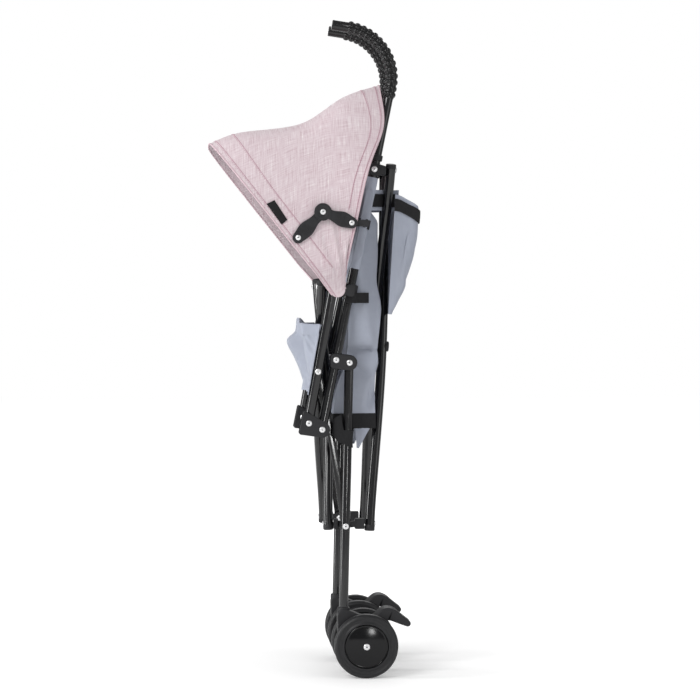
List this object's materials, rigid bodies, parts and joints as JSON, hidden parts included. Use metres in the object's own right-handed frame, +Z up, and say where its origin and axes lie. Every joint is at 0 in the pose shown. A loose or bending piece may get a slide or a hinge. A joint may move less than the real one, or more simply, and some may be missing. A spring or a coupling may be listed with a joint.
{
  "type": "umbrella stroller",
  "caption": "Light folding stroller with hook handles, crossed braces, twin wheels and an open hood, folded upright.",
  "frame": {"origin": "floor point under the middle of the folded stroller's box", "axes": "+Z up, +X to the back where the parent stands, +Y to the child's right"},
  "size_m": [0.3446, 0.2848, 1.078],
  "materials": {
    "black_paint": "gloss black paint on tube",
    "black_plastic": "fine-grained moulding",
    "grip_rubber": "matt rubber with dimples",
    "tyre": "matt moulded tyre",
    "hub_plastic": "polished black cap",
    "pink_cloth": "woven melange",
    "grey_cloth": "plain weave",
    "black_webbing": "woven webbing"
  },
  "bodies": {
    "left_frame": {"left_push_tube": "black_paint", "left_grip": "grip_rubber", "left_leg_bracket": "black_plastic", "left_front_knuckle": "black_plastic", "left_seat_sleeve": "grey_cloth", "left_arm_clip": "black_plastic", "left_hood_clip": "black_plastic"},
    "fabric": {"canopy": "pink_cloth", "seat_cloth": "grey_cloth", "rear_basket": "grey_cloth", "calf_pouch": "grey_cloth"},
    "right_frame": {"right_push_tube": "black_paint", "right_grip": "grip_rubber", "right_leg_bracket": "black_plastic", "right_front_knuckle": "black_plastic", "right_seat_sleeve": "grey_cloth", "right_arm_clip": "black_plastic", "right_hood_clip": "black_plastic"},
    "left_rear_leg": {"left_rear_leg": "black_paint", "left_rear_housing": "black_plastic", "left_leg_strap": "black_webbing"},
    "left_brake_pedal": {"left_brake_pedal": "black_plastic"},
    "left_outer_rear_wheel": {"left_outer_rear_tyre": "tyre", "left_outer_rear_hub": "hub_plastic"},
    "left_inner_rear_wheel": {"left_inner_rear_tyre": "tyre", "left_inner_rear_hub": "hub_plastic"},
    "left_front_leg": {"left_front_leg": "black_paint"},
    "left_castor": {"left_castor_fork": "black_plastic"},
    "left_outer_front_wheel": {"left_outer_front_wheel": "tyre"},
    "left_inner_front_wheel": {"left_inner_front_wheel": "tyre"},
    "left_side_link": {"left_side_link": "black_paint"},
    "left_brace_head": {"left_brace_head": "black_plastic"},
    "left_brace": {"left_brace": "black_paint"},
    "left_brace_foot": {"left_brace_foot": "black_plastic"},
    "left_stay_foot": {"left_stay_foot": "black_plastic"},
    "left_stay": {"left_stay": "black_paint"},
    "left_stay_head": {"left_stay_head": "black_plastic"},
    "left_arm_rear": {"left_arm_rear": "black_plastic"},
    "left_arm_front": {"left_arm_front": "black_plastic"},
    "right_rear_leg": {"right_rear_leg": "black_paint", "right_rear_housing": "black_plastic", "right_leg_strap": "black_webbing"},
    "right_brake_pedal": {"right_brake_pedal": "black_plastic"},
    "right_outer_rear_wheel": {"right_outer_rear_tyre": "tyre", "right_outer_rear_hub": "hub_plastic"},
    "right_inner_rear_wheel": {"right_inner_rear_tyre": "tyre", "right_inner_rear_hub": "hub_plastic"},
    "right_front_leg": {"right_front_leg": "black_paint"},
    "right_castor": {"right_castor_fork": "black_plastic"},
    "right_outer_front_wheel": {"right_outer_front_wheel": "tyre"},
    "right_inner_front_wheel": {"right_inner_front_wheel": "tyre"},
    "right_side_link": {"right_side_link": "black_paint"},
    "right_brace_head": {"right_brace_head": "black_plastic"},
    "right_brace": {"right_brace": "black_paint"},
    "right_brace_foot": {"right_brace_foot": "black_plastic"},
    "right_stay_foot": {"right_stay_foot": "black_plastic"},
    "right_stay": {"right_stay": "black_paint"},
    "right_stay_head": {"right_stay_head": "black_plastic"},
    "right_arm_rear": {"right_arm_rear": "black_plastic"},
    "right_arm_front": {"right_arm_front": "black_plastic"}
  },
  "joints": [
    {"name": "fold", "type": "slide", "parent": "left_frame", "child": "right_frame", "axis": [0, 1, 0], "range_m": [0, 0.18012], "deforming": ["canopy", "seat_cloth", "rear_basket", "calf_pouch"]},
    {"name": "fabric_centring", "type": "slide", "parent": "left_frame", "child": "fabric", "axis": [0, 1, 0], "range_m": [0, 0.09016]},
    {"name": "left_leg_fold", "type": "hinge", "parent": "left_frame", "child": "left_rear_leg", "pos_m": [0.05585, -0.081, 0.5139], "axis": [0, 1, 0], "range_deg": [-50.02, 0]},
    {"name": "left_brake", "type": "hinge", "parent": "left_rear_leg", "child": "left_brake_pedal", "pos_m": [0.09125, -0.081, 0.084], "axis": [0, 1, 0], "range_deg": [0, 12]},
    {"name": "left_outer_rear_wheel_spin", "type": "hinge", "parent": "left_rear_leg", "child": "left_outer_rear_wheel", "pos_m": [0.08125, -0.116, 0.0525], "axis": [0, 1, 0], "continuous": true},
    {"name": "left_inner_rear_wheel_spin", "type": "hinge", "parent": "left_rear_leg", "child": "left_inner_rear_wheel", "pos_m": [0.08125, -0.046, 0.0525], "axis": [0, 1, 0], "continuous": true},
    {"name": "left_front_leg_fold", "type": "hinge", "parent": "left_frame", "child": "left_front_leg", "pos_m": [-0.01115, -0.0883, 0.4153], "axis": [0, 1, 0], "range_deg": [-197.47, 0]},
    {"name": "left_castor_swivel", "type": "hinge", "parent": "left_front_leg", "child": "left_castor", "pos_m": [0.04624, -0.0883, 0.73113], "axis": [0.1788, 0, 0.9839], "range_deg": [-3, 3]},
    {"name": "left_outer_front_wheel_spin", "type": "hinge", "parent": "left_castor", "child": "left_outer_front_wheel", "pos_m": [0.01806, -0.1133, 0.76064], "axis": [0, 1, 0], "continuous": true},
    {"name": "left_inner_front_wheel_spin", "type": "hinge", "parent": "left_castor", "child": "left_inner_front_wheel", "pos_m": [0.01806, -0.0633, 0.76064], "axis": [0, 1, 0], "continuous": true},
    {"name": "left_link_fold", "type": "hinge", "parent": "left_rear_leg", "child": "left_side_link", "pos_m": [0.04985, -0.0706, 0.2451], "axis": [0, 1, 0], "range_deg": [-31.2, 0]},
    {"name": "left_brace_head_turn", "type": "hinge", "parent": "left_frame", "child": "left_brace_head", "pos_m": [0.09835, -0.06073, 0.8311], "axis": [0, 1, 0], "range_deg": [-22.81, 0]},
    {"name": "left_brace_spread", "type": "hinge", "parent": "left_brace_head", "child": "left_brace", "pos_m": [0.12625, -0.0595, 0.8311], "axis": [0.9983, 0, -0.059], "range_deg": [0, 18.59]},
    {"name": "left_brace_foot_turn", "type": "hinge", "parent": "left_rear_leg", "child": "left_brace_foot", "pos_m": [0.04985, -0.0595, 0.2451], "axis": [0, 1, 0], "range_deg": [0, 27.23]},
    {"name": "left_stay_foot_turn", "type": "hinge", "parent": "left_rear_leg", "child": "left_stay_foot", "pos_m": [0.04985, -0.0595, 0.2451], "axis": [0, 1, 0], "range_deg": [-67.76, 0]},
    {"name": "left_stay_spread", "type": "hinge", "parent": "left_stay_foot", "child": "left_stay", "pos_m": [0.02275, -0.0595, 0.247], "axis": [0.9997, 0, 0.0264], "range_deg": [-30.07, 0]},
    {"name": "left_stay_head_turn", "type": "hinge", "parent": "left_front_leg", "child": "left_stay_head", "pos_m": [0.02942, -0.0595, 0.63854], "axis": [0, 1, 0], "range_deg": [0, 79.73]},
    {"name": "left_hood_arm", "type": "hinge", "parent": "left_frame", "child": "left_arm_rear", "pos_m": [0.05595, -0.1345, 0.7413], "axis": [0, 1, 0], "range_deg": [0, 68.8], "deforming": ["canopy"]},
    {"name": "left_hood_elbow", "type": "hinge", "parent": "left_arm_rear", "child": "left_arm_front", "pos_m": [0.00935, -0.1345, 0.7587], "axis": [0, 1, 0], "range_deg": [-85.6, 0]},
    {"name": "right_leg_fold", "type": "hinge", "parent": "right_frame", "child": "right_rear_leg", "pos_m": [0.05585, 0.081, 0.5139], "axis": [0, 1, 0], "range_deg": [-50.02, 0]},
    {"name": "right_brake", "type": "hinge", "parent": "right_rear_leg", "child": "right_brake_pedal", "pos_m": [0.09125, 0.081, 0.084], "axis": [0, 1, 0], "range_deg": [0, 12]},
    {"name": "right_outer_rear_wheel_spin", "type": "hinge", "parent": "right_rear_leg", "child": "right_outer_rear_wheel", "pos_m": [0.08125, 0.116, 0.0525], "axis": [0, 1, 0], "continuous": true},
    {"name": "right_inner_rear_wheel_spin", "type": "hinge", "parent": "right_rear_leg", "child": "right_inner_rear_wheel", "pos_m": [0.08125, 0.046, 0.0525], "axis": [0, 1, 0], "continuous": true},
    {"name": "right_front_leg_fold", "type": "hinge", "parent": "right_frame", "child": "right_front_leg", "pos_m": [-0.01115, 0.0883, 0.4153], "axis": [0, 1, 0], "range_deg": [-197.47, 0]},
    {"name": "right_castor_swivel", "type": "hinge", "parent": "right_front_leg", "child": "right_castor", "pos_m": [0.04624, 0.0883, 0.73113], "axis": [0.1788, 0, 0.9839], "range_deg": [-3, 3]},
    {"name": "right_outer_front_wheel_spin", "type": "hinge", "parent": "right_castor", "child": "right_outer_front_wheel", "pos_m": [0.01806, 0.1133, 0.76064], "axis": [0, 1, 0], "continuous": true},
    {"name": "right_inner_front_wheel_spin", "type": "hinge", "parent": "right_castor", "child": "right_inner_front_wheel", "pos_m": [0.01806, 0.0633, 0.76064], "axis": [0, 1, 0], "continuous": true},
    {"name": "right_link_fold", "type": "hinge", "parent": "right_rear_leg", "child": "right_side_link", "pos_m": [0.04985, 0.0706, 0.2451], "axis": [0, 1, 0], "range_deg": [-31.2, 0]},
    {"name": "right_brace_head_turn", "type": "hinge", "parent": "right_frame", "child": "right_brace_head", "pos_m": [0.09835, 0.06073, 0.8311], "axis": [0, 1, 0], "range_deg": [-22.81, 0]},
    {"name": "right_brace_spread", "type": "hinge", "parent": "right_brace_head", "child": "right_brace", "pos_m": [0.12625, 0.0595, 0.8311], "axis": [0.9983, 0, -0.059], "range_deg": [-18.59, 0]},
    {"name": "right_brace_foot_turn", "type": "hinge", "parent": "right_rear_leg", "child": "right_brace_foot", "pos_m": [0.04985, 0.0595, 0.2451], "axis": [0, 1, 0], "range_deg": [0, 27.23]},
    {"name": "right_stay_foot_turn", "type": "hinge", "parent": "right_rear_leg", "child": "right_stay_foot", "pos_m": [0.04985, 0.0595, 0.2451], "axis": [0, 1, 0], "range_deg": [-67.76, 0]},
    {"name": "right_stay_spread", "type": "hinge", "parent": "right_stay_foot", "child": "right_stay", "pos_m": [0.02275, 0.0595, 0.247], "axis": [0.9997, 0, 0.0264], "range_deg": [0, 30.07]},
    {"name": "right_stay_head_turn", "type": "hinge", "parent": "right_front_leg", "child": "right_stay_head", "pos_m": [0.02942, 0.0595, 0.63854], "axis": [0, 1, 0], "range_deg": [0, 79.73]},
    {"name": "right_hood_arm", "type": "hinge", "parent": "right_frame", "child": "right_arm_rear", "pos_m": [0.05595, 0.1345, 0.7413], "axis": [0, 1, 0], "range_deg": [0, 68.9]},
    {"name": "right_hood_elbow", "type": "hinge", "parent": "right_arm_rear", "child": "right_arm_front", "pos_m": [0.00935, 0.1345, 0.7587], "axis": [0, 1, 0], "range_deg": [-85.6, 0]}
  ],
  "couplings": [
    {"joint": "fabric_centring", "follows": "fold", "ratio": 0.5},
    {"joint": "left_leg_fold", "follows": "fold", "rad_per_m": -4.8449},
    {"joint": "left_front_leg_fold", "follows": "fold", "rad_per_m": -19.133},
    {"joint": "left_link_fold", "follows": "fold", "rad_per_m": -3.0209},
    {"joint": "left_brace_head_turn", "follows": "fold", "rad_per_m": -2.2082},
    {"joint": "left_brace_spread", "follows": "fold", "rad_per_m": 1.7991},
    {"joint": "left_brace_foot_turn", "follows": "fold", "rad_per_m": 2.6367},
    {"joint": "left_stay_foot_turn", "follows": "fold", "rad_per_m": -6.5639},
    {"joint": "left_stay_spread", "follows": "fold", "rad_per_m": -2.9115},
    {"joint": "left_stay_head_turn", "follows": "fold", "rad_per_m": 7.724},
    {"joint": "left_hood_elbow", "follows": "left_hood_arm", "ratio": -1.2428},
    {"joint": "right_leg_fold", "follows": "fold", "rad_per_m": -4.8449},
    {"joint": "right_front_leg_fold", "follows": "fold", "rad_per_m": -19.133},
    {"joint": "right_link_fold", "follows": "fold", "rad_per_m": -3.0209},
    {"joint": "right_brace_head_turn", "follows": "fold", "rad_per_m": -2.2082},
    {"joint": "right_brace_spread", "follows": "fold", "rad_per_m": -1.7991},
    {"joint": "right_brace_foot_turn", "follows": "fold", "rad_per_m": 2.6367},
    {"joint": "right_stay_foot_turn", "follows": "fold", "rad_per_m": -6.5639},
    {"joint": "right_stay_spread", "follows": "fold", "rad_per_m": 2.9115},
    {"joint": "right_stay_head_turn", "follows": "fold", "rad_per_m": 7.724},
    {"joint": "right_hood_arm", "follows": "left_hood_arm", "ratio": 1},
    {"joint": "right_hood_elbow", "follows": "left_hood_arm", "ratio": -1.2428}
  ]
}
